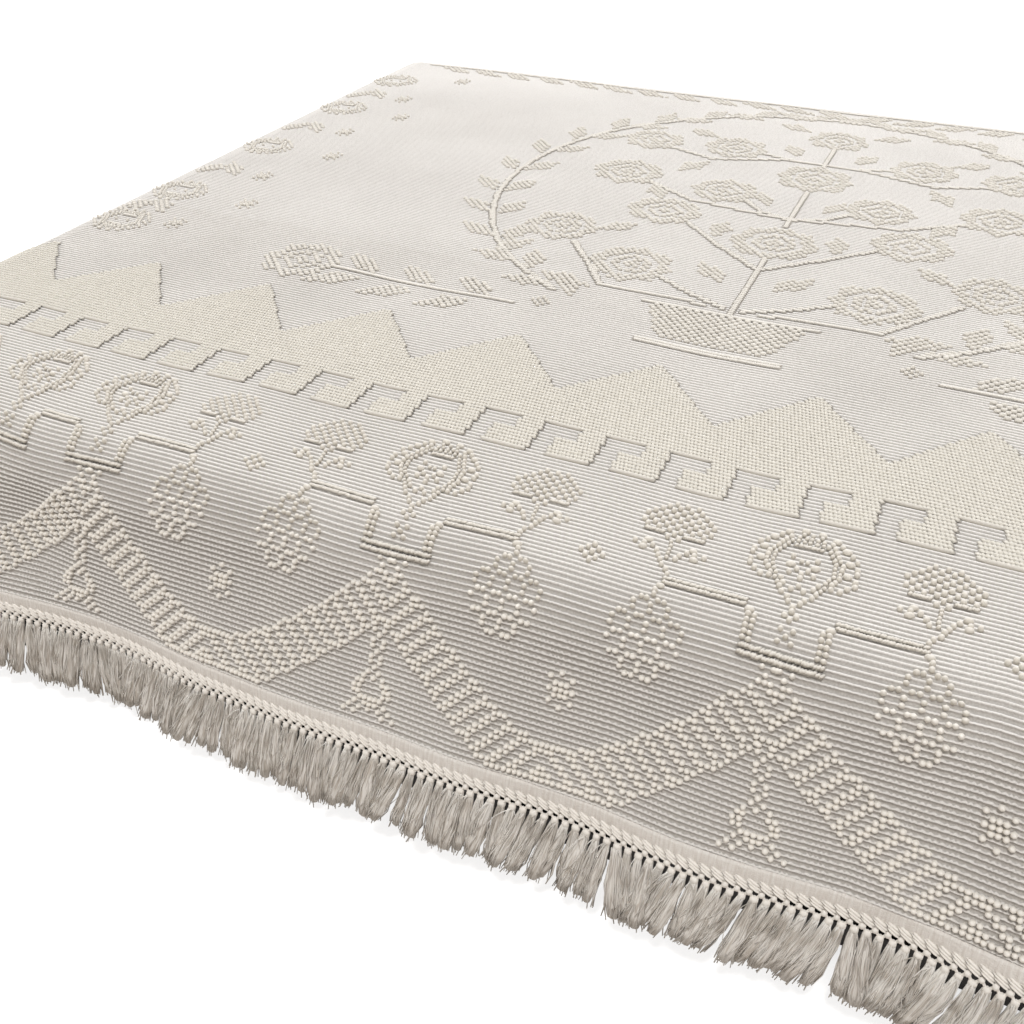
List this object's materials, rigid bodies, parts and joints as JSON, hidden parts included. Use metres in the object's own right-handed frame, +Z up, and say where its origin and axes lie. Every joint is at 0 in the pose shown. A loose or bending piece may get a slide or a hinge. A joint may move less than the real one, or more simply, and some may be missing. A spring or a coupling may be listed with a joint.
{
  "type": "chenille bedspread on a mattress",
  "caption": "Ribbed, tufted cotton bedspread with a knotted fringe, draped over a plain rounded mattress.",
  "frame": {"origin": "centre of the mattress's underside, which stands on the floor", "axes": "+Z up, +X along the mattress's long side, -Y towards the fringed front"},
  "size_m": [2.1949, 1.7706, 0.3407],
  "materials": {
    "ribbed_cotton": "matte ribbed cotton with raised tufts",
    "fringe_yarn": "matte twisted cotton yarn",
    "mattress_cover": "matte woven cover"
  },
  "bodies": {
    "root": {"bedspread": "ribbed_cotton", "fringe_front": "fringe_yarn", "fringe_left": "fringe_yarn", "fringe_right": "fringe_yarn", "mattress": "mattress_cover"}
  },
  "joints": []
}
